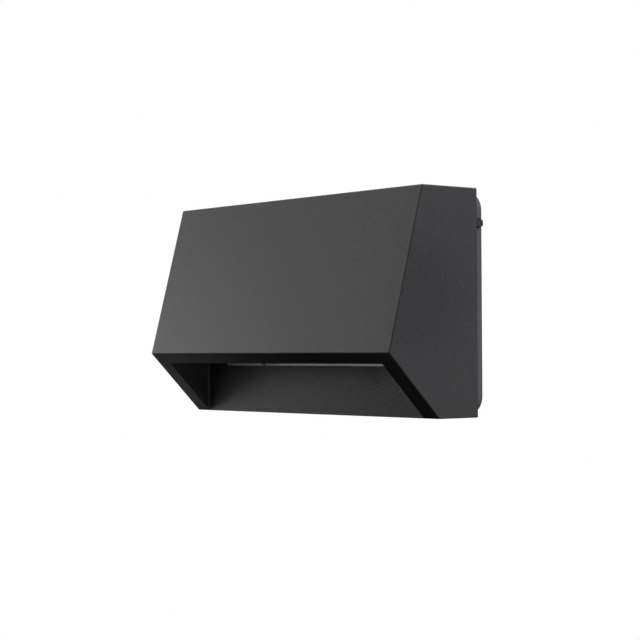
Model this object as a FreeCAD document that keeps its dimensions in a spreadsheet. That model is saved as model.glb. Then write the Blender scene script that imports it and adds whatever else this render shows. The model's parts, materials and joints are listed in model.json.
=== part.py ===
import FreeCAD, Part
import math
import os

import Sketcher
from FreeCAD import Placement, Rotation, Vector

# A wall-mounted step light: a wedge-shaped die-cast hood that hangs on a flat wall plate.
# The hood has two hollows, a lamp chamber that opens downwards through a slanted mouth and a
# gear pocket that opens to the rear, with an upright web between them.
# Frame: the origin is in the middle of the face that lies on the wall, +X is to the right as seen
# from the room, +Y goes into the wall and +Z is up. A depth is a distance from the wall, along -Y.

SIZES = {
    # Hood, outside
    "hood_width": 125.0,
    "hood_height": 70.0,
    "base_depth": 15.9,
    "nose_height": 19.9,
    "mouth_angle": 45.0,
    "front_angle": 15.0,
    "edge_round": 0.5,
    # Hood, inside
    "front_wall": 4.3,
    "side_rim": 6.8,
    "web_thick": 3.0,
    "rear_wall": 4.0,
    "pocket_round": 3.0,
    "inner_round": 0.8,
    "lip_round": 0.25,
    "ceiling_thick": 4.0,
    "chamber_height": 12.4,
    "chamber_end": 5.7,
    "seat_ledge": 1.5,
    # Wall plate with its gasket and seal
    "plate_thick": 3.0,
    "plate_inset_x": 1.6,
    "plate_inset_z": 1.0,
    "plate_corner": 5.5,
    "spigot_gap": 0.4,
    "spigot_width": 2.0,
    "spigot_height": 2.5,
    "gasket_thick": 1.0,
    "gasket_inset": 2.0,
    "gasket_width": 4.0,
    "seal_thick": 0.5,
    "seal_inset": 0.4,
    "slot_spacing": 83.3,
    "slot_length": 8.0,
    "slot_width": 4.4,
    # Cable grommet
    "cable_hole_radius": 8.0,
    "cable_bore_radius": 4.5,
    "grommet_lip": 2.0,
    "grommet_front_lip": 1.2,
    "grommet_rear_lip": 0.8,
    "grommet_fit": 0.05,
    # Lugs of the hood and the screws that lock them
    "lug_inset_x": 11.5,
    "lug_inset_z": 10.6,
    "lug_side": 6.0,
    "lug_gap": 0.3,
    "rib_thick": 2.0,
    "rib_clear": 1.0,
    "lock_radius": 1.0,
    "lock_head_across": 2.6,
    "lock_head_height": 0.9,
    "lock_fit": 0.03,
    "lock_tip_gap": 0.15,
    "groove_depth": 0.9,
    "groove_gap": 0.3,
    # Diffuser, with a bead along its rear edge that a drain notch breaks
    "diffuser_thick": 2.5,
    "diffuser_rise": 0.6,
    "diffuser_gap": 0.4,
    "diffuser_corner": 1.2,
    "bead_width": 2.2,
    "bead_drop": 0.65,
    "bead_end": 14.0,
    "drain_x": -21.0,
    "drain_width": 2.6,
    "diffuser_gasket_thick": 0.8,
    "diffuser_screw_inset": 3.0,
    "diffuser_screw_radius": 1.25,
    "diffuser_screw_head": 2.3,
    "diffuser_screw_length": 8.0,
    # Light engine
    "board_end_gap": 6.5,
    "board_side_gap": 0.4,
    "board_thick": 1.6,
    "thermal_pad_thick": 0.5,
    "board_screw_inset": 4.5,
    "board_screw_radius": 1.25,
    "board_screw_head": 2.25,
    "board_screw_head_height": 1.5,
    "board_screw_length": 5.5,
    "chip_side": 3.0,
    "chip_height": 0.7,
    "reflector_end_gap": 3.0,
    "reflector_wall": 0.8,
    "reflector_gap": 0.3,
    "reflector_tab": 5.0,
    "reflector_tab_width": 5.6,
    "reflector_slot_width": 4.6,
    # Driver
    "driver_end_gap": 20.7,
    "driver_side_gap": 2.5,
    "driver_wall": 1.5,
    "driver_gap": 0.6,
    "driver_ear": 8.0,
    "driver_ear_height": 10.0,
    "driver_ear_thick": 2.0,
    "potting_recess": 0.6,
    "post_radius": 3.5,
    "driver_screw_radius": 1.5,
    "driver_screw_head": 2.8,
    "driver_screw_head_height": 1.8,
    "driver_screw_length": 6.5,
    # Terminal block
    "pole_pitch": 9.0,
    "first_pole_x": 8.0,
    "terminal_margin": 5.0,
    "terminal_height": 16.0,
    "terminal_thick": 11.0,
    "terminal_floor_gap": 4.0,
    "terminal_groove": 1.2,
    "terminal_groove_depth": 2.0,
    "wire_bore_radius": 2.2,
    "clamp_wall": 0.8,
    "clamp_fit": 0.05,
    "clamp_end_gap": 1.0,
    "terminal_screw_radius": 1.25,
    "terminal_screw_inset": 3.5,
    "terminal_well_radius": 2.0,
    "fixing_screw_radius": 1.25,
    "fixing_screw_head": 2.3,
    "fixing_screw_head_height": 1.6,
    "fixing_well_radius": 2.9,
    "fixing_well_depth": 2.5,
    "fixing_screw_hold": 2.1,
    # Earth terminal
    "earth_inset": 19.5,
    "earth_rise": 3.0,
    "earth_boss_radius": 4.5,
    "earth_boss_height": 1.2,
    "earth_screw_radius": 2.0,
    "earth_screw_head": 3.8,
    "earth_screw_head_height": 2.4,
    "earth_screw_hold": 3.0,
    "lug_plate_thick": 0.8,
    "barrel_radius": 1.6,
    "barrel_length": 4.5,
    # Leads inside the hood
    "mains_lead_radius": 0.9,
    "led_lead_radius": 0.55,
    "mains_bend": 2.4,
    "led_bend": 1.8,
    "lead_standoff": 3.0,
    "lead_clear": 1.0,
    "lead_grommet_inset": 3.2,
    "lead_grommet_radius": 2.2,
    "lead_grommet_lip": 0.6,
    "lead_grommet_lip_thick": 0.8,
    "lead_bore_radius": 1.55,
    "led_lead_pitch": 1.4,
    # Clearances
    "screw_fit": 0.05,
    "through_fit": 0.2,
    "touch_gap": 0.05,
    "sink": 0.5,
    "overcut": 2.0,
}
CHIP_COUNT = 10
POLE_COUNT = 3

# Shares of a screw head's height
SOCKET_SHARE = 0.55
BEVEL_SHARE = 0.2

doc = FreeCAD.newDocument("step_light")
sheet = doc.addObject("Spreadsheet::Sheet", "dims")
for row, (alias, number) in enumerate(SIZES.items(), start=1):
    sheet.set(f"A{row}", alias)
    sheet.set(f"B{row}", str(number))
    sheet.setAlias(f"B{row}", alias)
doc.recompute()


class Size:
    """A size: its number, and the expression that ties it to the cells of the sheet."""

    def __init__(self, text, value):
        self.text = text
        self.value = value

    def __add__(self, other):
        return Size(f"({self.text} + {text_of(other)})", self.value + value_of(other))

    def __sub__(self, other):
        return Size(f"({self.text} - {text_of(other)})", self.value - value_of(other))

    def __mul__(self, other):
        return Size(f"({self.text} * {text_of(other)})", self.value * value_of(other))

    def __truediv__(self, other):
        return Size(f"({self.text} / {text_of(other)})", self.value / value_of(other))

    def __radd__(self, other):
        return Size(text_of(other), other) + self

    def __rsub__(self, other):
        return Size(text_of(other), other) - self

    def __rmul__(self, other):
        return Size(text_of(other), other) * self

    def __neg__(self):
        return Size(f"(-1 * {self.text})", -self.value)


def text_of(size):
    return size.text if isinstance(size, Size) else repr(float(size))


def value_of(size):
    return size.value if isinstance(size, Size) else float(size)


def tangent(angle):
    return Size(f"tan({angle.text})", math.tan(math.radians(angle.value)))


def sine(angle):
    return Size(f"sin({angle.text})", math.sin(math.radians(angle.value)))


def cosine(angle):
    return Size(f"cos({angle.text})", math.cos(math.radians(angle.value)))


class Sheet:
    """The driving dimensions by name, as sizes that stay tied to their cells."""

    def __getattr__(self, alias):
        return Size(f"dims.{alias}", SIZES[alias])


d = Sheet()

# Levels and depths that several pieces share
half_width = d.hood_width / 2
top_z = d.hood_height / 2
bottom_z = -top_z
nose_z = bottom_z + d.nose_height
plate_front = d.gasket_thick + d.plate_thick
hood_back = plate_front + d.seal_thick
base_front = hood_back + d.base_depth
web_back = base_front - d.web_thick
nose_depth = base_front + d.nose_height * tangent(d.mouth_angle)
top_front = nose_depth - (d.hood_height - d.nose_height) * tangent(d.front_angle)
pocket_half = half_width - d.side_rim
chamber_half = pocket_half - d.chamber_end
lip_drop = d.front_wall * cosine(d.mouth_angle) / sine(d.front_angle + d.mouth_angle)
lip_z = nose_z - lip_drop
diffuser_bottom = lip_z + d.diffuser_rise
diffuser_top = diffuser_bottom + d.diffuser_thick
seat_z = diffuser_top + d.diffuser_gasket_thick
ceiling_z = seat_z + d.chamber_height
upper_floor_z = ceiling_z + d.ceiling_thick
upper_top_z = top_z - d.rear_wall
chamber_back = base_front + d.seat_ledge


def inner_front(z):
    """Depth of the front wall's inner face at a height."""
    return nose_depth - (z - nose_z) * tangent(d.front_angle) - d.front_wall / cosine(d.front_angle)


def chamber_front(z):
    """Depth of the lamp chamber's front face at a height."""
    return inner_front(z) - d.seat_ledge


def mouth_depth(z):
    """Depth of the slanted mouth plane at a height."""
    return nose_depth - (nose_z - z) * tangent(d.mouth_angle)


board_depth = (chamber_back + chamber_front(ceiling_z)) / 2
board_top = ceiling_z - d.thermal_pad_thick
board_bottom = board_top - d.board_thick
board_half = chamber_half - d.board_end_gap
board_half_width = board_depth - chamber_back - d.board_side_gap
board_screw_x = board_half - d.board_screw_inset
reflector_half = board_screw_x - d.reflector_end_gap
chip_pitch = reflector_half * 2 / CHIP_COUNT
lead_grommet_x = chamber_half - d.lead_grommet_inset
diffuser_half = pocket_half - d.diffuser_gap
diffuser_back = base_front + d.diffuser_gap
diffuser_front = inner_front(seat_z) - d.diffuser_gap
diffuser_mid = (diffuser_back + diffuser_front) / 2
diffuser_screw_x = diffuser_half - d.diffuser_screw_inset
lug_x = half_width - d.lug_inset_x
lug_z = top_z - d.lug_inset_z
lug_half = d.lug_side / 2
lug_tip = d.gasket_thick + d.lug_gap
plate_half_x = half_width - d.plate_inset_x
plate_half_z = top_z - d.plate_inset_z
lock_depth = d.gasket_thick + d.plate_thick / 2
driver_half = pocket_half - d.driver_end_gap
driver_low = upper_floor_z + d.driver_side_gap
driver_high = upper_top_z - d.driver_side_gap
driver_z = (driver_low + driver_high) / 2
driver_base = inner_front(driver_high) - d.driver_gap
lead_run = plate_front + d.grommet_front_lip + d.lead_clear + d.mains_lead_radius
driver_rear = lead_run + d.lead_standoff
driver_depth = driver_base - driver_rear
driver_post_x = driver_half + d.driver_ear / 2
potting_rear = driver_rear + d.potting_recess
terminal_rear = web_back - d.terminal_thick
terminal_mid = web_back - d.terminal_thick / 2
terminal_low = d.terminal_floor_gap - upper_top_z
terminal_top = terminal_low + d.terminal_height
terminal_mid_z = (terminal_low + terminal_top) / 2
terminal_upper_z = terminal_top - d.terminal_screw_inset
terminal_lower_z = terminal_low + d.terminal_screw_inset
fixing_x = d.first_pole_x + d.pole_pitch / 2
earth_x = half_width - d.earth_inset
earth_z = terminal_mid_z + d.earth_rise
earth_seat = web_back - d.earth_boss_height
barrel_depth = earth_seat - d.barrel_radius

PIECES = []


def named(piece, label):
    """Gives a finished sub-part its label and puts it on the list that is written."""
    piece.Label = label
    PIECES.append(piece)
    return piece


def tie(target, path, size):
    """Sets a property, and binds it to the sheet where the size comes from there."""
    if isinstance(size, Size):
        target.setExpression(path, size.text)
    else:
        target.setExpression(path, repr(float(size)))


def tie_point(sketch, geometry, point, x, y):
    """Fixes one point of a sketch by its two distances from the sketch's origin."""
    for kind, size in (("DistanceX", x), ("DistanceY", y)):
        index = sketch.addConstraint(
            Sketcher.Constraint(kind, -1, 1, geometry, point, value_of(size))
        )
        tie(sketch, f"Constraints[{index}]", size)


def tie_radius(sketch, geometry, radius):
    index = sketch.addConstraint(Sketcher.Constraint("Radius", geometry, value_of(radius)))
    tie(sketch, f"Constraints[{index}]", radius)


def flat(x, y):
    return Vector(value_of(x), value_of(y), 0)


class Polygon:
    """A closed outline of straight lines through its corners."""

    def __init__(self, *corners):
        self.corners = corners

    def draw(self, sketch):
        first = sketch.GeometryCount
        count = len(self.corners)
        for i, corner in enumerate(self.corners):
            ahead = self.corners[(i + 1) % count]
            sketch.addGeometry(Part.LineSegment(flat(*corner), flat(*ahead)), False)
        for i in range(count):
            joined = first + (i + 1) % count
            sketch.addConstraint(Sketcher.Constraint("Coincident", first + i, 2, joined, 1))
        for i, corner in enumerate(self.corners):
            tie_point(sketch, first + i, 1, *corner)


def rectangle(x0, x1, y0, y1):
    return Polygon((x0, y0), (x1, y0), (x1, y1), (x0, y1))


class Circle:
    def __init__(self, x, y, radius):
        self.x, self.y, self.radius = x, y, radius

    def draw(self, sketch):
        up = Vector(0, 0, 1)
        shape = Part.Circle(flat(self.x, self.y), up, value_of(self.radius))
        index = sketch.addGeometry(shape, False)
        tie_radius(sketch, index, self.radius)
        tie_point(sketch, index, 3, self.x, self.y)


class RoundedRectangle:
    """A rectangle with one radius at its four corners; its arcs run counter-clockwise."""

    def __init__(self, x0, x1, y0, y1, radius):
        self.x0, self.x1, self.y0, self.y1, self.radius = x0, x1, y0, y1, radius

    def draw(self, sketch):
        x0, x1, y0, y1, r = self.x0, self.x1, self.y0, self.y1, self.radius
        ends = [
            ((x0 + r, y0), (x1 - r, y0), (x1 - r, y0 + r)),
            ((x1, y0 + r), (x1, y1 - r), (x1 - r, y1 - r)),
            ((x1 - r, y1), (x0 + r, y1), (x0 + r, y1 - r)),
            ((x0, y1 - r), (x0, y0 + r), (x0 + r, y0 + r)),
        ]
        lines = []
        arcs = []
        for turn, (start, end, centre) in enumerate(ends):
            lines.append(sketch.addGeometry(Part.LineSegment(flat(*start), flat(*end)), False))
            circle = Part.Circle(flat(*centre), Vector(0, 0, 1), value_of(r))
            from_angle = math.radians(90 * turn - 90)
            arc = Part.ArcOfCircle(circle, from_angle, from_angle + math.pi / 2)
            arcs.append(sketch.addGeometry(arc, False))
        for turn, (start, end, centre) in enumerate(ends):
            after = lines[(turn + 1) % len(lines)]
            sketch.addConstraint(Sketcher.Constraint("Coincident", lines[turn], 2, arcs[turn], 1))
            sketch.addConstraint(Sketcher.Constraint("Coincident", arcs[turn], 2, after, 1))
            tie_radius(sketch, arcs[turn], r)
            tie_point(sketch, lines[turn], 1, *start)
            tie_point(sketch, lines[turn], 2, *end)


class Slot:
    """A slot along the sketch's X axis with round ends."""

    def __init__(self, x, y, length, width):
        self.x, self.y, self.length, self.radius = x, y, length, width / 2

    def draw(self, sketch):
        reach = self.length / 2 - self.radius
        left, right = self.x - reach, self.x + reach
        low, high = self.y - self.radius, self.y + self.radius
        up = Vector(0, 0, 1)
        below = sketch.addGeometry(Part.LineSegment(flat(left, low), flat(right, low)), False)
        above = sketch.addGeometry(Part.LineSegment(flat(right, high), flat(left, high)), False)
        ends = []
        for x, from_angle in ((right, -math.pi / 2), (left, math.pi / 2)):
            circle = Part.Circle(flat(x, self.y), up, value_of(self.radius))
            arc = Part.ArcOfCircle(circle, from_angle, from_angle + math.pi)
            ends.append(sketch.addGeometry(arc, False))
        for arc, x, before, after in ((ends[0], right, below, above), (ends[1], left, above, below)):
            sketch.addConstraint(Sketcher.Constraint("Coincident", before, 2, arc, 1))
            sketch.addConstraint(Sketcher.Constraint("Coincident", arc, 2, after, 1))
            index = sketch.addConstraint(
                Sketcher.Constraint("DistanceX", -1, 1, arc, 3, value_of(x))
            )
            tie(sketch, f"Constraints[{index}]", x)
        tie_point(sketch, below, 1, left, low)
        tie_point(sketch, below, 2, right, low)
        tie_point(sketch, above, 1, right, high)
        tie_point(sketch, above, 2, left, high)


class Piece:
    """A body that grows from sketches on planes square to the axes.

    On "depth" planes X runs right, Y up, and features run away from the wall. On "side" planes X
    runs towards the wall, Y up, and features run to the right. On "level" planes X runs right, Y
    towards the wall, and features run up.
    """

    PLANES = {"depth": "XZ_Plane", "side": "YZ_Plane", "level": "XY_Plane"}

    def __init__(self, name):
        self.body = doc.addObject("PartDesign::Body", name)

    def sketch(self, plane, offset, outlines):
        role = self.PLANES[plane]
        origin = next(x for x in self.body.Origin.OriginFeatures if x.Role == role)
        sketch = self.body.newObject("Sketcher::SketchObject", f"{self.body.Name}_sketch")
        sketch.AttachmentSupport = [(origin, "")]
        sketch.MapMode = "FlatFace"
        tie(sketch, "AttachmentOffset.Base.z", offset)
        for outline in outlines:
            outline.draw(sketch)
        return sketch

    def feature(self, kind, profile, length, side, backwards):
        feature = self.body.newObject(f"PartDesign::{kind}", f"{self.body.Name}_{kind.lower()}")
        feature.Profile = profile
        feature.SideType = side
        tie(feature, "Length", length)
        feature.Reversed = backwards
        doc.recompute()
        return feature

    def pad(self, plane, offset, length, *outlines, both=False, backwards=False):
        profile = self.sketch(plane, offset, outlines)
        return self.feature("Pad", profile, length, "Symmetric" if both else "One side", backwards)

    def cut(self, plane, offset, length, *outlines, both=False, backwards=False):
        """A pocket that runs the way a pad from the same sketch would."""
        profile = self.sketch(plane, offset, outlines)
        side = "Symmetric" if both else "One side"
        return self.feature("Pocket", profile, length, side, not backwards)

    def turn(self, *corners):
        """Turns an outline of (radius, height) corners about the body's own Z axis."""
        profile = self.sketch("depth", 0.0, [Polygon(*corners)])
        axis = next(x for x in self.body.Origin.OriginFeatures if x.Role == "Z_Axis")
        feature = self.body.newObject("PartDesign::Revolution", f"{self.body.Name}_turned")
        feature.Profile = profile
        feature.ReferenceAxis = (axis, [""])
        doc.recompute()
        return feature

    def dress(self, kind, size_name, size, pick):
        """A fillet or chamfer on the edges that a test picks."""
        base = self.body.Tip
        edges = base.Shape.Edges
        chosen = [f"Edge{i}" for i, edge in enumerate(edges, start=1) if pick(edge)]
        feature = self.body.newObject(f"PartDesign::{kind}", f"{self.body.Name}_{kind.lower()}")
        feature.Base = (base, chosen)
        tie(feature, size_name, size)
        doc.recompute()
        return feature

    def place(self, rotation, x, y, z):
        self.body.Placement = Placement(Vector(), rotation)
        for axis, size in zip("xyz", (x, y, z)):
            tie(self.body, f"Placement.Base.{axis}", size)

    def done(self, label):
        return named(self.body, label)


def near(a, b, slack=0.01):
    return abs(a - b) < slack


def group(label, members):
    """Several alike solids that share one node."""
    compound = doc.addObject("Part::Compound", label)
    compound.Links = members
    return named(compound, label)


FACING = {
    "rear": Rotation(Vector(1, 0, 0), -90),
    "down": Rotation(Vector(1, 0, 0), 180),
    "right": Rotation(Vector(0, 1, 0), 90),
    "left": Rotation(Vector(0, 1, 0), -90),
    "up": Rotation(),
}


def hexagon(across):
    """A hexagon socket's outline, across its flats."""
    corner = across / math.sqrt(3)
    side = corner / 2
    half = across / 2
    return Polygon(
        (corner, 0.0), (side, half), (-side, half), (-corner, 0.0), (-side, -half), (side, -half)
    )


def turned_screw(name, radius, length, head_radius, head_height):
    """A turned screw: its seat at height 0, its shank below and its bevelled head above."""
    piece = Piece(name)
    bevel = head_height * BEVEL_SHARE
    piece.turn(
        (0.0, -length),
        (radius, -length),
        (radius, 0.0),
        (head_radius, 0.0),
        (head_radius, head_height - bevel),
        (head_radius - bevel, head_height),
        (0.0, head_height),
    )
    return piece


def screw(name, radius, length, head_radius, head_height):
    """A flat-headed screw with a hexagon socket as wide as half its head."""
    piece = turned_screw(name, radius, length, head_radius, head_height)
    depth = head_height * SOCKET_SHARE
    piece.cut("level", head_height, depth, hexagon(head_radius), backwards=True)
    return piece


def hood():
    piece = Piece("hood_body")
    outline = Polygon(
        (-hood_back, bottom_z),
        (-base_front, bottom_z),
        (-nose_depth, nose_z),
        (-top_front, top_z),
        (-hood_back, top_z),
    )
    piece.pad("side", 0.0, d.hood_width, outline, both=True)
    back_y = -value_of(hood_back)
    piece.dress(
        "Fillet",
        "Radius",
        d.edge_round,
        lambda edge: not all(near(v.Y, back_y) for v in edge.Vertexes),
    )

    # Mouth up to the diffuser's seat, rounded at the web and the lip, and the lamp chamber above it
    below = bottom_z - d.overcut
    rounded = base_front + d.inner_round
    mouth = Polygon(
        (-rounded, below),
        (-rounded, seat_z),
        (-inner_front(seat_z), seat_z),
        (-inner_front(below), below),
    )
    piece.cut("side", 0.0, pocket_half * 2, mouth, both=True)
    corners = RoundedRectangle(
        -pocket_half, pocket_half, -rounded - d.inner_round * 2, -base_front, d.inner_round
    )
    piece.cut("level", below, seat_z - below, corners)
    lip_y = -value_of(mouth_depth(lip_z))
    piece.dress(
        "Fillet",
        "Radius",
        d.lip_round,
        lambda edge: all(near(v.Z, value_of(lip_z)) and near(v.Y, lip_y) for v in edge.Vertexes),
    )
    lap_z = seat_z - d.sink
    chamber = Polygon(
        (-chamber_back, lap_z),
        (-chamber_back, ceiling_z),
        (-chamber_front(ceiling_z), ceiling_z),
        (-chamber_front(lap_z), lap_z),
    )
    piece.cut("side", 0.0, chamber_half * 2, chamber, both=True)

    # Gear pocket from the rear, deeper above the lamp chamber
    opening_x = half_width - d.rear_wall
    opening = RoundedRectangle(-opening_x, opening_x, -upper_top_z, upper_top_z, d.pocket_round)
    piece.cut("depth", hood_back, web_back - hood_back, opening)
    lap = web_back - d.sink
    upper = Polygon(
        (-lap, upper_floor_z),
        (-inner_front(upper_floor_z), upper_floor_z),
        (-inner_front(upper_top_z), upper_top_z),
        (-lap, upper_top_z),
    )
    piece.cut("side", 0.0, pocket_half * 2, upper, both=True)

    # Lugs that reach into the wall plate, the upper pair grooved for the lock screws, and their ribs
    for z, wall in ((lug_z, inner_front(lug_z - lug_half)), (-lug_z, web_back)):
        lugs = [
            rectangle(x - lug_half, x + lug_half, z - lug_half, z + lug_half)
            for x in (-lug_x, lug_x)
        ]
        piece.pad("depth", lug_tip, wall + d.sink - lug_tip, *lugs)
    rib_start = plate_front + d.spigot_height + d.rib_clear
    rib_half = d.rib_thick / 2
    ribs = []
    for z in (-lug_z, lug_z):
        low, high = z - rib_half, z + rib_half
        ribs.append(rectangle(lug_x, opening_x + d.sink, low, high))
        ribs.append(rectangle(-opening_x - d.sink, -lug_x, low, high))
    piece.pad("depth", rib_start, web_back + d.sink - rib_start, *ribs)
    groove_half = d.lock_radius + d.groove_gap
    face = lug_x + lug_half
    grooves = []
    for sign in (-1, 1):
        inside, outside = sign * (face - d.groove_depth), sign * (face + d.overcut)
        low, high = (inside, outside) if sign > 0 else (outside, inside)
        grooves.append(rectangle(low, high, lug_z - groove_half, lug_z + groove_half))
    groove_start = lug_tip - d.overcut
    piece.cut("depth", groove_start, lock_depth + groove_half - groove_start, *grooves)

    # Posts for the driver and the earth boss
    posts = [Circle(x, driver_z, d.post_radius) for x in (-driver_post_x, driver_post_x)]
    post_end = inner_front(driver_z - d.post_radius) + d.sink
    piece.pad("depth", driver_base, post_end - driver_base, *posts)
    boss = Circle(earth_x, earth_z, d.earth_boss_radius)
    piece.pad("depth", earth_seat, d.earth_boss_height + d.sink, boss)

    # Screw holes, and the way through the ceiling for the lamp's leads
    driver_holes = [
        Circle(x, driver_z, d.driver_screw_radius + d.screw_fit)
        for x in (-driver_post_x, driver_post_x)
    ]
    piece.cut("depth", driver_base, d.driver_screw_length - d.driver_ear_thick + d.sink, *driver_holes)
    earth_hole = Circle(earth_x, earth_z, d.earth_screw_radius + d.screw_fit)
    piece.cut("depth", earth_seat, d.earth_screw_hold + d.touch_gap, earth_hole)
    fixing_hole = Circle(fixing_x, terminal_mid_z, d.fixing_screw_radius + d.screw_fit)
    piece.cut("depth", web_back, d.fixing_screw_hold + d.touch_gap, fixing_hole)
    board_holes = [
        Circle(x, -board_depth, d.board_screw_radius + d.screw_fit)
        for x in (-board_screw_x, board_screw_x)
    ]
    board_grip = d.board_screw_length - d.board_thick - d.thermal_pad_thick - d.reflector_wall
    piece.cut("level", ceiling_z, board_grip + d.touch_gap, *board_holes)
    seat_holes = [
        Circle(x, -diffuser_mid, d.diffuser_screw_radius + d.screw_fit)
        for x in (-diffuser_screw_x, diffuser_screw_x)
    ]
    seat_grip = d.diffuser_screw_length - d.diffuser_thick - d.diffuser_gasket_thick
    piece.cut("level", seat_z, seat_grip + d.touch_gap, *seat_holes)
    lead_hole = Circle(lead_grommet_x, -board_depth, d.lead_grommet_radius)
    piece.cut("level", ceiling_z, d.ceiling_thick, lead_hole)
    piece.done("hood")


def wall_plate():
    piece = Piece("wall_plate_body")
    outline = RoundedRectangle(
        -plate_half_x, plate_half_x, -plate_half_z, plate_half_z, d.plate_corner
    )
    piece.pad("depth", d.gasket_thick, d.plate_thick, outline)
    rim_x = half_width - d.rear_wall - d.spigot_gap
    rim_z = upper_top_z - d.spigot_gap
    inner_x, inner_z = rim_x - d.spigot_width, rim_z - d.spigot_width
    corner = d.pocket_round
    rim = RoundedRectangle(-rim_x, rim_x, -rim_z, rim_z, corner)
    inside = RoundedRectangle(-inner_x, inner_x, -inner_z, inner_z, corner / 2)
    piece.pad("depth", plate_front, d.spigot_height, rim, inside)
    reach = lug_half + d.lug_gap
    openings = [Circle(0.0, 0.0, d.cable_hole_radius)]
    for sign in (-1, 1):
        openings.append(Slot(sign * d.slot_spacing / 2, Size("0", 0.0), d.slot_length, d.slot_width))
        for z in (-lug_z, lug_z):
            x = sign * lug_x
            openings.append(rectangle(x - reach, x + reach, z - reach, z + reach))
    piece.cut("depth", d.gasket_thick, d.plate_thick, *openings)
    bore = Circle(-lock_depth, lug_z, d.lock_radius + d.lock_fit)
    run = plate_half_x - lug_x
    piece.cut("side", lug_x, run, bore)
    piece.cut("side", -lug_x, run, bore, backwards=True)
    piece.done("wall_plate")


def frame_piece(label, depth, thick, half_x, half_z, corner, width):
    """A flat frame with round corners, cut from sheet."""
    piece = Piece(f"{label}_body")
    inner_x = half_x - width
    inner_z = half_z - width
    piece.pad(
        "depth",
        depth,
        thick,
        RoundedRectangle(-half_x, half_x, -half_z, half_z, corner),
        RoundedRectangle(-inner_x, inner_x, -inner_z, inner_z, corner / 2),
    )
    piece.done(label)


def wall_gasket():
    half_x = plate_half_x - d.gasket_inset
    half_z = plate_half_z - d.gasket_inset
    corner = d.plate_corner - d.gasket_inset
    frame_piece("wall_gasket", 0.0, d.gasket_thick, half_x, half_z, corner, d.gasket_width)


def hood_seal():
    half_x = plate_half_x - d.seal_inset
    half_z = plate_half_z - d.seal_inset
    width = d.rear_wall - d.plate_inset_x - d.seal_inset
    corner = d.plate_corner - d.seal_inset
    frame_piece("hood_seal", plate_front, d.seal_thick, half_x, half_z, corner, width)


def cable_grommet():
    piece = Piece("cable_grommet_body")
    neck = d.cable_hole_radius - d.grommet_fit
    lip = d.cable_hole_radius + d.grommet_lip
    rear = d.grommet_rear_lip
    front = d.plate_thick + d.grommet_rear_lip
    piece.turn(
        (d.cable_bore_radius, 0.0),
        (lip, 0.0),
        (lip, rear),
        (neck, rear),
        (neck, front),
        (lip, front),
        (lip, front + d.grommet_front_lip),
        (d.cable_bore_radius, front + d.grommet_front_lip),
    )
    away_from_wall = Rotation(Vector(1, 0, 0), 90)
    piece.place(away_from_wall, 0.0, rear - d.gasket_thick, 0.0)
    piece.done("cable_grommet")


def lock_screws():
    """Two screws with hexagon heads."""
    reach = plate_half_x - (lug_x + lug_half - d.groove_depth) - d.lock_tip_gap
    blank = d.lock_head_across / math.sqrt(3) + d.touch_gap
    for side, sign in (("left", -1), ("right", 1)):
        name = f"lock_screw_{side}_body"
        piece = turned_screw(name, d.lock_radius, reach, blank, d.lock_head_height)
        rim = Circle(0.0, 0.0, blank + d.overcut)
        piece.cut("level", 0.0, d.lock_head_height, rim, hexagon(d.lock_head_across))
        piece.place(FACING[side], sign * (plate_half_x + d.touch_gap), -lock_depth, lug_z)
        piece.done(f"lock_screw_{side}")


def board_outline():
    near_edge, far_edge = -(board_depth - board_half_width), -(board_depth + board_half_width)
    return rectangle(-board_half, board_half, far_edge, near_edge)


def board_holes():
    radius = d.board_screw_radius + d.through_fit
    return [Circle(x, -board_depth, radius) for x in (-board_screw_x, board_screw_x)]


def light_engine():
    pad = Piece("thermal_pad_body")
    pad.pad("level", board_top, d.thermal_pad_thick, board_outline(), *board_holes())
    pad.done("thermal_pad")

    board = Piece("led_board_body")
    board.pad("level", board_bottom, d.board_thick, board_outline(), *board_holes())
    board.done("led_board")

    chips = []
    for i in range(CHIP_COUNT):
        chip = doc.addObject("Part::Box", f"chip_{i + 1}")
        tie(chip, "Length", d.chip_side)
        tie(chip, "Width", d.chip_side)
        tie(chip, "Height", d.chip_height)
        tie(chip, "Placement.Base.x", chip_pitch * (i - (CHIP_COUNT - 1) / 2) - d.chip_side / 2)
        tie(chip, "Placement.Base.y", -board_depth - d.chip_side / 2)
        tie(chip, "Placement.Base.z", board_bottom - d.chip_height)
        chips.append(chip)
    group("led_chips", chips)

    screws = []
    for sign in (-1, 1):
        piece = screw(
            f"board_screw_{len(screws) + 1}",
            d.board_screw_radius,
            d.board_screw_length,
            d.board_screw_head,
            d.board_screw_head_height,
        )
        seat = board_bottom - d.reflector_wall
        piece.place(FACING["down"], sign * board_screw_x, -board_depth, seat)
        screws.append(piece.body)
    group("board_screws", screws)


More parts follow.
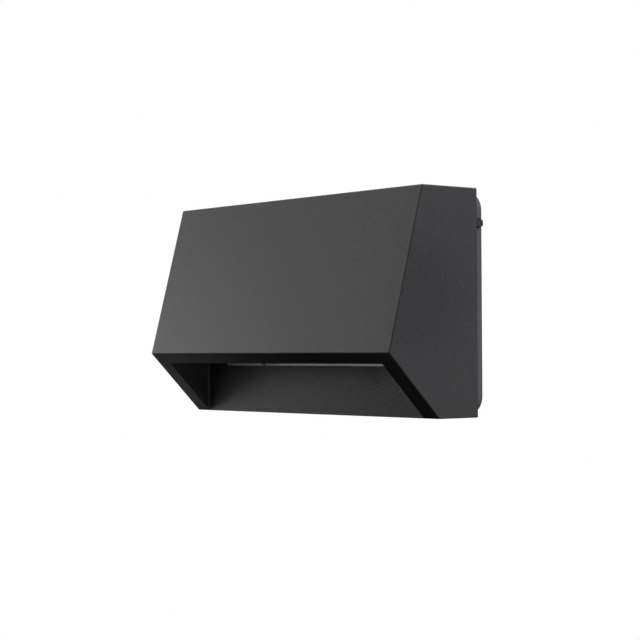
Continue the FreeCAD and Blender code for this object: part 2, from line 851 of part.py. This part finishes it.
def reflector():
    piece = Piece("reflector_body")
    wall = d.reflector_wall
    low = diffuser_top + d.reflector_gap
    half = reflector_half
    back = chamber_back + d.reflector_gap

    def front(z):
        return chamber_front(z) - d.reflector_gap

    outside = Polygon(
        (-back, low), (-back, board_bottom), (-front(board_bottom), board_bottom), (-front(low), low)
    )
    piece.pad("side", 0.0, half * 2, outside, both=True)
    open_low = low - d.overcut
    roof = board_bottom - wall
    slant_wall = wall / cosine(d.front_angle)
    inside = Polygon(
        (-back - wall, open_low),
        (-back - wall, roof),
        (-front(roof) + slant_wall, roof),
        (-front(open_low) + slant_wall, open_low),
    )
    piece.cut("side", 0.0, (half - wall) * 2, inside, both=True)

    tab_half = d.reflector_tab_width / 2
    near_edge, far_edge = -(board_depth - tab_half), -(board_depth + tab_half)
    tabs = [
        rectangle(half, half + d.reflector_tab, far_edge, near_edge),
        rectangle(-half - d.reflector_tab, -half, far_edge, near_edge),
    ]
    piece.pad("level", roof, wall, *tabs)
    slot_half = half - chip_pitch / 2 + d.chip_side
    slot_side = d.reflector_slot_width / 2
    window = rectangle(-slot_half, slot_half, -(board_depth + slot_side), -(board_depth - slot_side))
    piece.cut("level", roof, wall, window, *board_holes())
    piece.done("reflector")


def diffuser():
    piece = Piece("diffuser_body")
    outline = RoundedRectangle(
        -diffuser_half, diffuser_half, -diffuser_front, -diffuser_back, d.diffuser_corner
    )
    radius = d.diffuser_screw_radius + d.through_fit
    holes = [Circle(x, -diffuser_mid, radius) for x in (-diffuser_screw_x, diffuser_screw_x)]
    piece.pad("level", diffuser_bottom, d.diffuser_thick, outline, *holes)
    low = value_of(diffuser_bottom)
    piece.dress(
        "Chamfer",
        "Size",
        d.diffuser_screw_head + d.through_fit - radius,
        lambda edge: isinstance(edge.Curve, Part.Circle)
        and len(edge.Vertexes) == 1
        and near(edge.Vertexes[0].Z, low),
    )
    bead_half = diffuser_half - d.bead_end
    bead_low = lip_z - d.bead_drop
    bead_front = diffuser_back + d.bead_width
    drain_half = d.drain_width / 2
    runs = ((-bead_half, d.drain_x - drain_half), (d.drain_x + drain_half, bead_half))
    beads = [rectangle(left, right, -bead_front, -diffuser_back) for left, right in runs]
    piece.pad("level", bead_low, diffuser_bottom - bead_low + d.sink, *beads)
    piece.done("diffuser")

    gasket = Piece("diffuser_gasket_body")
    inner_half = chamber_half + d.through_fit
    inner = rectangle(
        -inner_half,
        inner_half,
        -(chamber_front(seat_z) + d.through_fit),
        -(chamber_back - d.through_fit),
    )
    gasket.pad("level", diffuser_top, d.diffuser_gasket_thick, outline, inner, *holes)
    gasket.done("diffuser_gasket")

    screws = []
    for sign in (-1, 1):
        countersunk = Piece(f"diffuser_screw_{len(screws) + 1}")
        cone = d.diffuser_screw_head - d.diffuser_screw_radius
        countersunk.turn(
            (0.0, -d.diffuser_screw_length),
            (d.diffuser_screw_radius, -d.diffuser_screw_length),
            (d.diffuser_screw_radius, -cone),
            (d.diffuser_screw_head, 0.0),
            (0.0, 0.0),
        )
        socket = hexagon(d.diffuser_screw_radius)
        countersunk.cut("level", 0.0, d.diffuser_screw_radius, socket, backwards=True)
        countersunk.place(
            FACING["down"], sign * diffuser_screw_x, -diffuser_mid, diffuser_bottom
        )
        screws.append(countersunk.body)
    group("diffuser_screws", screws)


def driver():
    piece = Piece("driver_case_body")
    half, low, high = driver_half, driver_low, driver_high
    piece.pad("depth", driver_rear, driver_depth, rectangle(-half, half, low, high))
    wall = d.driver_wall
    inside = rectangle(-half + wall, half - wall, low + wall, high - wall)
    piece.cut("depth", driver_rear, driver_depth - wall, inside)
    ear_low = driver_z - d.driver_ear_height / 2
    ear_high = driver_z + d.driver_ear_height / 2
    ears = [
        rectangle(half, half + d.driver_ear, ear_low, ear_high),
        rectangle(-half - d.driver_ear, -half, ear_low, ear_high),
    ]
    ear_rear = driver_base - d.driver_ear_thick
    piece.pad("depth", ear_rear, d.driver_ear_thick, *ears)
    radius = d.driver_screw_radius + d.through_fit
    holes = [Circle(x, driver_z, radius) for x in (-driver_post_x, driver_post_x)]
    piece.cut("depth", ear_rear, d.driver_ear_thick, *holes)
    piece.done("driver_case")

    potting = Piece("driver_potting_body")
    fill = rectangle(
        -half + wall + d.touch_gap,
        half - wall - d.touch_gap,
        low + wall + d.touch_gap,
        high - wall - d.touch_gap,
    )
    potting.pad("depth", potting_rear, driver_base - wall - potting_rear, fill)
    potting.done("driver_potting")

    screws = []
    for sign in (-1, 1):
        fixing = screw(
            f"driver_screw_{len(screws) + 1}",
            d.driver_screw_radius,
            d.driver_screw_length,
            d.driver_screw_head,
            d.driver_screw_head_height,
        )
        fixing.place(FACING["rear"], sign * driver_post_x, -ear_rear, driver_z)
        screws.append(fixing.body)
    group("driver_screws", screws)


def pole_x(index):
    return d.first_pole_x + d.pole_pitch * index


def terminal_block():
    piece = Piece("terminal_block_body")
    left = pole_x(0) - d.terminal_margin
    right = pole_x(POLE_COUNT - 1) + d.terminal_margin
    low = terminal_low
    poles = [pole_x(i) for i in range(POLE_COUNT)]
    piece.pad("depth", terminal_rear, d.terminal_thick, rectangle(left, right, low, terminal_top))
    bores = [Circle(x, -terminal_mid, d.wire_bore_radius) for x in poles]
    piece.cut("level", low, d.terminal_height, *bores)
    wells = [
        Circle(x, z, d.terminal_well_radius)
        for x in poles
        for z in (terminal_upper_z, terminal_lower_z)
    ]
    piece.cut("depth", terminal_rear, terminal_mid - terminal_rear, *wells)
    fixing = Circle(fixing_x, terminal_mid_z, d.fixing_screw_radius + d.through_fit)
    piece.cut("depth", terminal_rear, d.terminal_thick, fixing)
    well = Circle(fixing_x, terminal_mid_z, d.fixing_well_radius)
    piece.cut("depth", terminal_rear, d.fixing_well_depth, well)
    half = d.terminal_groove / 2
    grooves = []
    for x in poles[1:]:
        middle = x - d.pole_pitch / 2
        grooves.append(rectangle(middle - half, middle + half, low - d.sink, terminal_top + d.sink))
    piece.cut("depth", terminal_rear, d.terminal_groove_depth, *grooves)
    piece.done("terminal_block")

    clamps = []
    screws = []
    clamp_radius = d.wire_bore_radius - d.clamp_fit
    clamp_bore = clamp_radius - d.clamp_wall
    clamp_low = low + d.clamp_end_gap
    clamp_length = d.terminal_height - d.clamp_end_gap * 2
    tip = terminal_mid - d.mains_lead_radius - d.touch_gap
    head = terminal_rear + d.terminal_groove
    for x in poles:
        clamp = Piece(f"clamp_{len(clamps) + 1}")
        clamp.pad(
            "level",
            clamp_low,
            clamp_length,
            Circle(x, -terminal_mid, clamp_radius),
            Circle(x, -terminal_mid, clamp_bore),
        )
        threads = [
            Circle(x, z, d.terminal_screw_radius + d.screw_fit)
            for z in (terminal_upper_z, terminal_lower_z)
        ]
        clamp.cut("depth", terminal_rear, terminal_mid - terminal_rear, *threads)
        clamps.append(clamp.body)
        for z in (terminal_upper_z, terminal_lower_z):
            grub = Piece(f"terminal_screw_{len(screws) + 1}")
            grub.turn(
                (0.0, 0.0),
                (d.terminal_screw_radius, 0.0),
                (d.terminal_screw_radius, tip - head),
                (0.0, tip - head),
            )
            slot_half = d.terminal_screw_radius / 4
            reach = d.terminal_screw_radius + d.sink
            slot = rectangle(-reach, reach, -slot_half, slot_half)
            grub.cut("level", tip - head, d.terminal_screw_radius, slot, backwards=True)
            grub.place(FACING["rear"], x, -tip, z)
            screws.append(grub.body)
    group("terminal_clamps", clamps)
    group("terminal_screws", screws)

    seat = terminal_rear + d.fixing_well_depth
    fixing_screw = screw(
        "fixing_screw_body",
        d.fixing_screw_radius,
        web_back + d.fixing_screw_hold - seat,
        d.fixing_screw_head,
        d.fixing_screw_head_height,
    )
    fixing_screw.place(FACING["rear"], fixing_x, -seat, terminal_mid_z)
    fixing_screw.done("terminal_fixing_screw")


def earth_terminal():
    lug = Piece("earth_lug_body")
    lug_rear = earth_seat - d.lug_plate_thick
    ring = Circle(earth_x, earth_z, d.earth_boss_radius)
    hole = Circle(earth_x, earth_z, d.earth_screw_radius + d.through_fit)
    lug.pad("depth", lug_rear, d.lug_plate_thick, ring, hole)
    barrel_low = earth_z + d.earth_boss_radius
    neck_half = d.barrel_radius
    neck = rectangle(
        earth_x - neck_half, earth_x + neck_half, barrel_low - d.sink * 2, barrel_low + d.sink
    )
    lug.pad("depth", lug_rear, d.lug_plate_thick, neck)
    barrel = Circle(earth_x, -barrel_depth, d.barrel_radius)
    lug.pad("level", barrel_low, d.barrel_length, barrel)
    wire_hole = Circle(earth_x, -barrel_depth, d.mains_lead_radius + d.touch_gap)
    lug.cut("level", barrel_low + d.sink, d.barrel_length, wire_hole)
    lug.done("earth_lug")

    earth_screw = screw(
        "earth_screw_body",
        d.earth_screw_radius,
        d.lug_plate_thick + d.earth_screw_hold,
        d.earth_screw_head,
        d.earth_screw_head_height,
    )
    earth_screw.place(FACING["rear"], earth_x, -lug_rear, earth_z)
    earth_screw.done("earth_screw")


def point(x, depth, z):
    return Vector(value_of(x), -value_of(depth), value_of(z))


def lead(label, points, radius, bend):
    """A wire along straight runs that tangent arcs join."""
    radius, bend = value_of(radius), value_of(bend)
    edges = []
    start = points[0]
    for before, corner, after in zip(points, points[1:], points[2:]):
        back = (before - corner).normalize()
        ahead = (after - corner).normalize()
        half_angle = back.getAngle(ahead) / 2
        trim = bend / math.tan(half_angle)
        middle = corner + (back + ahead).normalize() * (bend / math.sin(half_angle) - bend)
        edges.append(Part.makeLine(start, corner + back * trim))
        edges.append(Part.Arc(corner + back * trim, middle, corner + ahead * trim).toShape())
        start = corner + ahead * trim
    edges.append(Part.makeLine(start, points[-1]))
    path = Part.Wire(edges)
    section = Part.Wire([Part.makeCircle(radius, points[0], points[1] - points[0])])
    piece = doc.addObject("Part::Feature", label)
    piece.Shape = path.makePipeShell([section], True, False)
    piece.Placement = Placement()
    expected = math.pi * radius**2 * path.Length
    if not near(piece.Shape.Volume / expected, 1.0):
        raise RuntimeError(f"{label}: {piece.Shape.Volume:.2f} is not its section times its length")
    return named(piece, label)


def leads():
    exit_z = driver_low + d.driver_wall + d.mains_bend
    bend_z = driver_low - d.mains_bend * 2
    lower_bend_z = bend_z - (terminal_mid - lead_run)
    end_z = terminal_upper_z - d.terminal_screw_radius
    for label, index in (("live_lead", 0), ("neutral_lead", 1)):
        x = pole_x(index)
        route = [
            point(x, potting_rear, exit_z),
            point(x, lead_run, exit_z),
            point(x, lead_run, bend_z),
            point(x, terminal_mid, lower_bend_z),
            point(x, terminal_mid, end_z),
        ]
        lead(label, route, d.mains_lead_radius, d.mains_bend)

    barrel_low = earth_z + d.earth_boss_radius
    loop_z = barrel_low + d.barrel_length + d.mains_bend * 1.5
    x = pole_x(POLE_COUNT - 1)
    route = [
        point(x, terminal_mid, end_z),
        point(x, terminal_mid, loop_z),
        point(earth_x, barrel_depth, loop_z),
        point(earth_x, barrel_depth, barrel_low + d.sink + d.touch_gap),
    ]
    lead("earth_lead", route, d.mains_lead_radius, d.mains_bend)

    solder_x = board_half - d.led_lead_radius * 3
    under_board = board_bottom - d.led_lead_radius - d.touch_gap
    for label, step in (("led_lead_positive", -1), ("led_lead_negative", 1)):
        depth = board_depth + step * d.led_lead_pitch / 2
        z = exit_z + (step + 1) * d.led_lead_pitch / 2
        x = driver_half - d.driver_wall - d.led_bend - d.led_lead_pitch * (1 - step)
        route = [
            point(x, potting_rear, z),
            point(x, lead_run, z),
            point(lead_grommet_x, lead_run, z),
            point(lead_grommet_x, depth, z),
            point(lead_grommet_x, depth, under_board),
            point(solder_x, depth, under_board),
        ]
        lead(label, route, d.led_lead_radius, d.led_bend)

    grommet = Piece("lead_grommet_body")
    neck = d.lead_grommet_radius - d.touch_gap
    lip = d.lead_grommet_radius + d.lead_grommet_lip
    lip_thick = d.lead_grommet_lip_thick
    above = lip_thick + d.ceiling_thick
    grommet.turn(
        (d.lead_bore_radius, 0.0),
        (lip, 0.0),
        (lip, lip_thick),
        (neck, lip_thick),
        (neck, above),
        (lip, above),
        (lip, above + lip_thick),
        (d.lead_bore_radius, above + lip_thick),
    )
    grommet.place(FACING["up"], lead_grommet_x, -board_depth, ceiling_z - lip_thick)
    grommet.done("lead_grommet")


def check():
    """Stops unless every object came out right and every pocket took something away."""
    doc.recompute()
    for thing in doc.Objects:
        if {"Invalid", "Error"} & set(thing.State):
            raise RuntimeError(f"{thing.Label}: {thing.State}")
        if thing.TypeId == "PartDesign::Pocket":
            if thing.Shape.Volume >= thing.BaseFeature.Shape.Volume:
                raise RuntimeError(f"{thing.Label} cuts nothing")
    for piece in PIECES:
        if piece.Shape.isNull() or not piece.Shape.isValid() or not piece.Shape.Solids:
            raise RuntimeError(f"{piece.Label} has no sound shape")


def write():
    os.makedirs("parts", exist_ok=True)
    for piece in PIECES:
        piece.Shape.exportStep(f"parts/{piece.Label}.step")


wall_plate()
wall_gasket()
hood_seal()
cable_grommet()
lock_screws()
hood()
light_engine()
reflector()
diffuser()
driver()
terminal_block()
earth_terminal()
leads()
check()
write()
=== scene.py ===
import json
import math

import bpy
from mathutils import Matrix, Vector

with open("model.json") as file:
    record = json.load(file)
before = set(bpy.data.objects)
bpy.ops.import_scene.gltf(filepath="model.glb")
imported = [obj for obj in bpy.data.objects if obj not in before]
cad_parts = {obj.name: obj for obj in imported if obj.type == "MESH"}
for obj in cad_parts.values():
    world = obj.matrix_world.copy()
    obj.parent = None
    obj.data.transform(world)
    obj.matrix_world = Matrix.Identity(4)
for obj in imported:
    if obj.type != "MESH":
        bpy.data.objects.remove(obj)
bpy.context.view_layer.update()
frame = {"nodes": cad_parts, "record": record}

MM = 0.001
WAVE_BAND = 0.314  # width in metres of one band of a Wave texture at scale 1
nodes = frame["nodes"]
slot_of = {part["node"]: part["material_slot"] for part in frame["record"]["subparts"]}
recorded = {finish["slot"]: finish["base_color"][:3] for finish in frame["record"]["materials"]}


class Value:
    """One output of a node tree; sums, products and comparisons add their Math nodes."""

    def __init__(self, graph, socket):
        self.graph = graph
        self.socket = socket

    def maths(self, operation, first, second):
        return self.graph.node("ShaderNodeMath", {"operation": operation}, {0: first, 1: second})

    def __add__(self, other):
        return self.maths("ADD", self, other)

    def __radd__(self, other):
        return self.maths("ADD", other, self)

    def __mul__(self, other):
        return self.maths("MULTIPLY", self, other)

    def __rmul__(self, other):
        return self.maths("MULTIPLY", other, self)

    def __gt__(self, other):
        return self.maths("GREATER_THAN", self, other)

    def __lt__(self, other):
        return self.maths("LESS_THAN", self, other)


class Graph:
    """The node tree of a material or of the world."""

    def __init__(self, tree):
        self.tree = tree

    def node(self, kind, settings=None, inputs=None, output=0):
        """Adds a node: its settings first, then the values or links of its sockets."""
        made = self.tree.nodes.new(kind)
        for name, setting in (settings or {}).items():
            setattr(made, name, setting)
        for name, given in (inputs or {}).items():
            self.feed(made.inputs[name], given)
        return Value(self, made.outputs[output])

    def feed(self, socket, given):
        if isinstance(given, Value):
            self.tree.links.new(given.socket, socket)
        elif socket.type == "RGBA":
            socket.default_value = (*given, 1.0)
        else:
            socket.default_value = given

    def mix(self, share, first, second):
        """A colour between two, by a share from 0 to 1."""
        inputs = {0: share, 6: first, 7: second}
        return self.node("ShaderNodeMix", {"data_type": "RGBA"}, inputs, output=2)

    def white_for_the_eye(self, lit, white):
        """White to the eye, in gloss and through glass, and the lit shader to every other ray."""
        kinds = ("Is Camera Ray", "Is Glossy Ray", "Is Transmission Ray")
        camera_ray, glossy_ray, clear_ray = (self.node("ShaderNodeLightPath", output=k) for k in kinds)
        seen = camera_ray + glossy_ray + clear_ray
        return self.node("ShaderNodeMixShader", None, {0: seen, 1: lit, 2: white})


class Finish(Graph):
    """A material whose pattern follows the object's own coordinates, in metres."""

    def __init__(self, name):
        self.material = bpy.data.materials.new(name)
        self.material.use_nodes = True
        super().__init__(self.material.node_tree)
        self.shader = self.tree.nodes["Principled BSDF"]

    def set(self, **sockets):
        """Sets sockets of the surface shader, named with underscores for spaces."""
        for name, given in sockets.items():
            self.feed(self.shader.inputs[name.replace("_", " ")], given)
        return self

    def place(self):
        return self.node("ShaderNodeTexCoord", output="Object")

    def noise(self, size, detail=2.0, roughness=0.5):
        """Soft noise from 0 to 1 whose lumps are about one size across."""
        inputs = {"Vector": self.place(), "Scale": 1 / size, "Detail": detail, "Roughness": roughness}
        return self.node("ShaderNodeTexNoise", None, inputs)

    def cells(self, size):
        """Distance from the nearest of scattered points that are about one size apart."""
        return self.node("ShaderNodeTexVoronoi", None, {"Vector": self.place(), "Scale": 1 / size})

    def grooves(self, size, axis):
        """Fine lines square to one axis."""
        settings = {"wave_type": "BANDS", "bands_direction": axis}
        inputs = {"Vector": self.place(), "Scale": WAVE_BAND / size, "Distortion": 0.6}
        return self.node("ShaderNodeTexWave", settings, inputs)

    def spread(self, value, low, high):
        """Stretches the part of a value between two limits over 0 to 1."""
        inputs = {"Value": value, "From Min": low, "From Max": high}
        return self.node("ShaderNodeMapRange", None, inputs)

    def bump(self, height, depth, strength=1.0):
        """A surface normal from a height of 0 to 1 that stands for a depth in metres."""
        inputs = {"Height": height, "Distance": depth, "Strength": strength}
        return self.node("ShaderNodeBump", None, inputs)


def toned(colour, factor):
    return tuple(min(1.0, part * factor) for part in colour)


def powder_coat(name, colour):
    """Textured powder coat: fine lumps that catch the light, and a slow drift of tone."""
    finish = Finish(name)
    lumps = finish.noise(0.6 * MM, 3.0, 0.65)
    specks = finish.spread(lumps, 0.32, 0.68)
    drift = finish.noise(4 * MM)
    finish.set(
        Base_Color=finish.mix(specks * 0.8 + drift * 0.2, toned(colour, 0.55), toned(colour, 1.45)),
        Roughness=0.34 + drift * 0.08 + lumps * 0.1,
        Normal=finish.bump(lumps, 0.1 * MM, 0.7),
        Specular_IOR_Level=0.28,
    )
    return finish.material


def satin_coat(name, colour):
    """Smoother coat of the wall plate, with a faint grain and clouds of tone."""
    finish = Finish(name)
    grain = finish.noise(0.4 * MM, 3.0)
    clouds = finish.noise(6 * MM)
    finish.set(
        Base_Color=finish.mix(grain * 0.6 + clouds * 0.4, toned(colour, 0.55), toned(colour, 0.85)),
        Roughness=0.42 + grain * 0.1,
        Normal=finish.bump(grain, 0.04 * MM, 0.5),
        Specular_IOR_Level=0.28,
    )
    return finish.material


def steel(name, colour):
    """Plated or blackened steel with the faint rings of turning."""
    finish = Finish(name)
    streaks = finish.noise(0.6 * MM, 4.0)
    finish.set(
        Base_Color=finish.mix(streaks, toned(colour, 0.85), toned(colour, 1.1)),
        Metallic=1.0,
        Roughness=0.32 + streaks * 0.15,
        Normal=finish.bump(finish.grooves(0.12 * MM, "Z"), 0.004 * MM, 0.4),
    )
    return finish.material


def plastic(name, colour):
    """Moulded plastic with a fine spark-eroded grain."""
    finish = Finish(name)
    grain = finish.noise(0.18 * MM, 3.0)
    drift = finish.noise(9 * MM)
    finish.set(
        Base_Color=finish.mix(drift, toned(colour, 0.93), toned(colour, 1.05)),
        Roughness=0.45 + grain * 0.12,
        Normal=finish.bump(grain, 0.012 * MM, 0.5),
    )
    return finish.material


def rubber(name, colour):
    """Rubber or foam: matt, with fine pores."""
    finish = Finish(name)
    pores = finish.cells(0.25 * MM)
    bloom = finish.noise(6 * MM, 3.0)
    finish.set(
        Base_Color=finish.mix(bloom, toned(colour, 0.8), toned(colour, 1.35)),
        Roughness=0.72 + bloom * 0.15,
        Normal=finish.bump(pores, 0.05 * MM, 0.7),
    )
    return finish.material


def sleeve(name, colour, stripe=None):
    """Extruded insulation; the earth lead's has a stripe."""
    finish = Finish(name)
    drag = finish.noise(0.4 * MM)
    base = finish.mix(drag, toned(colour, 0.9), toned(colour, 1.1))
    if stripe:
        band = finish.grooves(1.1 * MM, "DIAGONAL") > 0.55
        base = finish.mix(band, base, stripe)
    finish.set(
        Base_Color=base, Roughness=0.38 + drag * 0.1, Normal=finish.bump(drag, 0.01 * MM, 0.4)
    )
    return finish.material


EARTH_YELLOW = (0.72, 0.55, 0.04)


def earth_sleeve(name, colour):
    return sleeve(name, colour, stripe=EARTH_YELLOW)


def frosted_glass(name, colour):
    """Frosted diffuser: light passes scattered, with a soft sheen."""
    finish = Finish(name)
    frost = finish.noise(0.12 * MM, 3.0, 0.6)
    finish.set(
        Base_Color=finish.mix(frost, toned(colour, 0.95), toned(colour, 1.03)),
        Roughness=0.4 + frost * 0.12,
        Normal=finish.bump(frost, 0.01 * MM, 0.5),
        Transmission_Weight=0.15,
        IOR=1.49,
        Coat_Weight=1.0,
        Coat_Roughness=0.2,
        Coat_IOR=1.8,
    )
    return finish.material


FINISHES = {
    "powder_coat": powder_coat,
    "plate_coat": satin_coat,
    "black_steel": steel,
    "steel": steel,
    "brass": steel,
    "tinned_copper": steel,
    "foam": rubber,
    "silicone": rubber,
    "black_rubber": rubber,
    "thermal_silicone": rubber,
    "board_mask": plastic,
    "chip_phosphor": plastic,
    "white_plastic": plastic,
    "case_plastic": plastic,
    "potting_resin": plastic,
    "terminal_plastic": plastic,
    "frosted_glass": frosted_glass,
    "brown_sleeve": sleeve,
    "blue_sleeve": sleeve,
    "green_sleeve": earth_sleeve,
    "red_sleeve": sleeve,
    "black_sleeve": sleeve,
}


def dress_nodes():
    made = {slot: FINISHES[slot](slot, colour) for slot, colour in recorded.items()}
    for name, piece in nodes.items():
        for place in piece.material_slots:
            place.material = made[slot_of[name]]


# The camera: eye level with the nose, to the light's right
AZIMUTH = math.radians(51.0)
ELEVATION = math.radians(-1.01)
ROLL = math.radians(-0.28)
DISTANCE = 596.5 * MM
AIM = Vector((-13.63, -4.5, -4.01)) * MM
SENSOR_WIDTH = 36.0
FOCAL_PIXELS = 1765.5
FRAME_PIXELS = 640


def camera():
    lens = bpy.data.cameras.new("camera")
    lens.sensor_width = SENSOR_WIDTH
    lens.lens = SENSOR_WIDTH * FOCAL_PIXELS / FRAME_PIXELS
    lens.clip_start = 0.01
    lens.clip_end = 100.0
    back = Vector(
        (
            math.sin(AZIMUTH) * math.cos(ELEVATION),
            -math.cos(AZIMUTH) * math.cos(ELEVATION),
            math.sin(ELEVATION),
        )
    )
    right = Vector((0, 0, 1)).cross(back).normalized()
    up = back.cross(right)
    turned_right = right * math.cos(ROLL) + up * math.sin(ROLL)
    turned_up = up * math.cos(ROLL) - right * math.sin(ROLL)
    turn = Matrix((turned_right, turned_up, back)).transposed().to_4x4()
    eye = bpy.data.objects.new("camera", lens)
    eye.matrix_world = Matrix.Translation(AIM + back * DISTANCE) @ turn
    bpy.context.scene.collection.objects.link(eye)
    bpy.context.scene.camera = eye


# Lamps of the studio: place, width and height in metres, power in watts, colour. All face one point
WHITE = (1.0, 1.0, 1.0)
COOL = (0.87, 0.9, 1.0)
LAMP_AIM = (0, -0.02, 0)
LAMPS = {
    "top_light": ((-0.5, -0.6, 1.2), 0.6, 0.6, 19.0, WHITE),
    "right_light": ((0.9, 0.4, 0.9), 0.6, 0.6, 13.0, COOL),
    "rear_light": ((1.0, 0.5, 0.15), 0.7, 0.9, 1.4, COOL),
    "left_light": ((-0.9, -0.32, 0.12), 0.2, 0.2, 1.2, WHITE),
    "grazing_light": ((-0.545, -0.235, 0.0), 0.1, 0.1, 0.09, WHITE),
    "low_light": ((0.7, -0.03, -0.13), 0.2, 0.1, 0.82, WHITE),
}
ROOM_LIGHT = 0.1

# Black cards round the light: they darken its underside, and what its coat and diffuser mirror.
# Each has its place, the point it faces, its width and its height, in metres
FLAGS = {
    "flag_right": ((0.12, 0.01, 0.005), (0.062, -0.037, 0.003), 0.03, 0.034),
    "flag_below_front": ((-0.06, -0.11, -0.07), (-0.06, -0.11, 0.0), 0.28, 0.18),
    "flag_below_rear": ((-0.0225, 0.02, -0.07), (-0.0225, 0.02, 0.0), 0.205, 0.08),
    "flag_near_mouth": ((-0.134, -0.1, -0.027), (-0.056, -0.037, -0.027), 0.033, 0.018),
    "flag_lower_left": ((-0.62, -0.5, -0.25), (0.0, 0.0, -0.25), 0.8, 0.22),
    "flag_behind_eye": ((0.75, -0.62, 0.0), (0.0, -0.02, 0.0), 1.4, 1.4),
}
CARD_BLACK = (0.004, 0.004, 0.004)

FLOOR_GREY = (0.8, 0.8, 0.8)
FLOOR_LEVEL = -0.6
FLOOR_SIZE = 8.0


def aimed(name, data, place, aim, front):
    """Puts an object at a place with its front side turned to a point."""
    made = bpy.data.objects.new(name, data)
    made.location = place
    made.rotation_euler = (Vector(aim) - Vector(place)).to_track_quat(front, "Y").to_euler()
    bpy.context.scene.collection.objects.link(made)
    return made


def lights():
    for name, (place, width, height, power, colour) in LAMPS.items():
        lamp = bpy.data.lights.new(name, "AREA")
        lamp.shape = "RECTANGLE"
        lamp.size = width
        lamp.size_y = height
        lamp.energy = power
        lamp.color = colour
        aimed(name, lamp, place, LAMP_AIM, "-Z")


def card(name, place, aim, width, height, material):
    """A flat card of the set, facing a point."""
    mesh = bpy.data.meshes.new(name)
    x, y = width / 2, height / 2
    mesh.from_pydata([(-x, -y, 0), (x, -y, 0), (x, y, 0), (-x, y, 0)], [], [(0, 1, 2, 3)])
    mesh.materials.append(material)
    made = aimed(name, mesh, place, aim, "Z")
    return made


def studio():
    floor = Finish("floor")
    floor.set(Base_Color=FLOOR_GREY, Roughness=0.9)
    white = floor.node("ShaderNodeEmission", None, {"Color": WHITE, "Strength": 1.0})
    surface = floor.white_for_the_eye(Value(floor, floor.shader.outputs[0]), white)
    floor.feed(floor.tree.nodes["Material Output"].inputs["Surface"], surface)
    card("floor", (0, 0, FLOOR_LEVEL), (0, 0, 0), FLOOR_SIZE, FLOOR_SIZE, floor.material)

    black = Finish("black_card")
    black.set(Base_Color=CARD_BLACK, Roughness=1.0, Specular_IOR_Level=0.0)
    for name, (place, aim, width, height) in FLAGS.items():
        flag = card(name, place, aim, width, height, black.material)
        flag.visible_camera = False

    world = bpy.data.worlds.new("studio")
    world.use_nodes = True
    bpy.context.scene.world = world
    room = Graph(world.node_tree)
    lit, white = (
        room.node("ShaderNodeBackground", None, {"Color": WHITE, "Strength": strength})
        for strength in (ROOM_LIGHT, 1.0)
    )
    surface = room.white_for_the_eye(lit, white)
    room.feed(room.tree.nodes["World Output"].inputs["Surface"], surface)


dress_nodes()
camera()
lights()
studio()
bpy.context.scene.view_settings.view_transform = "Standard"
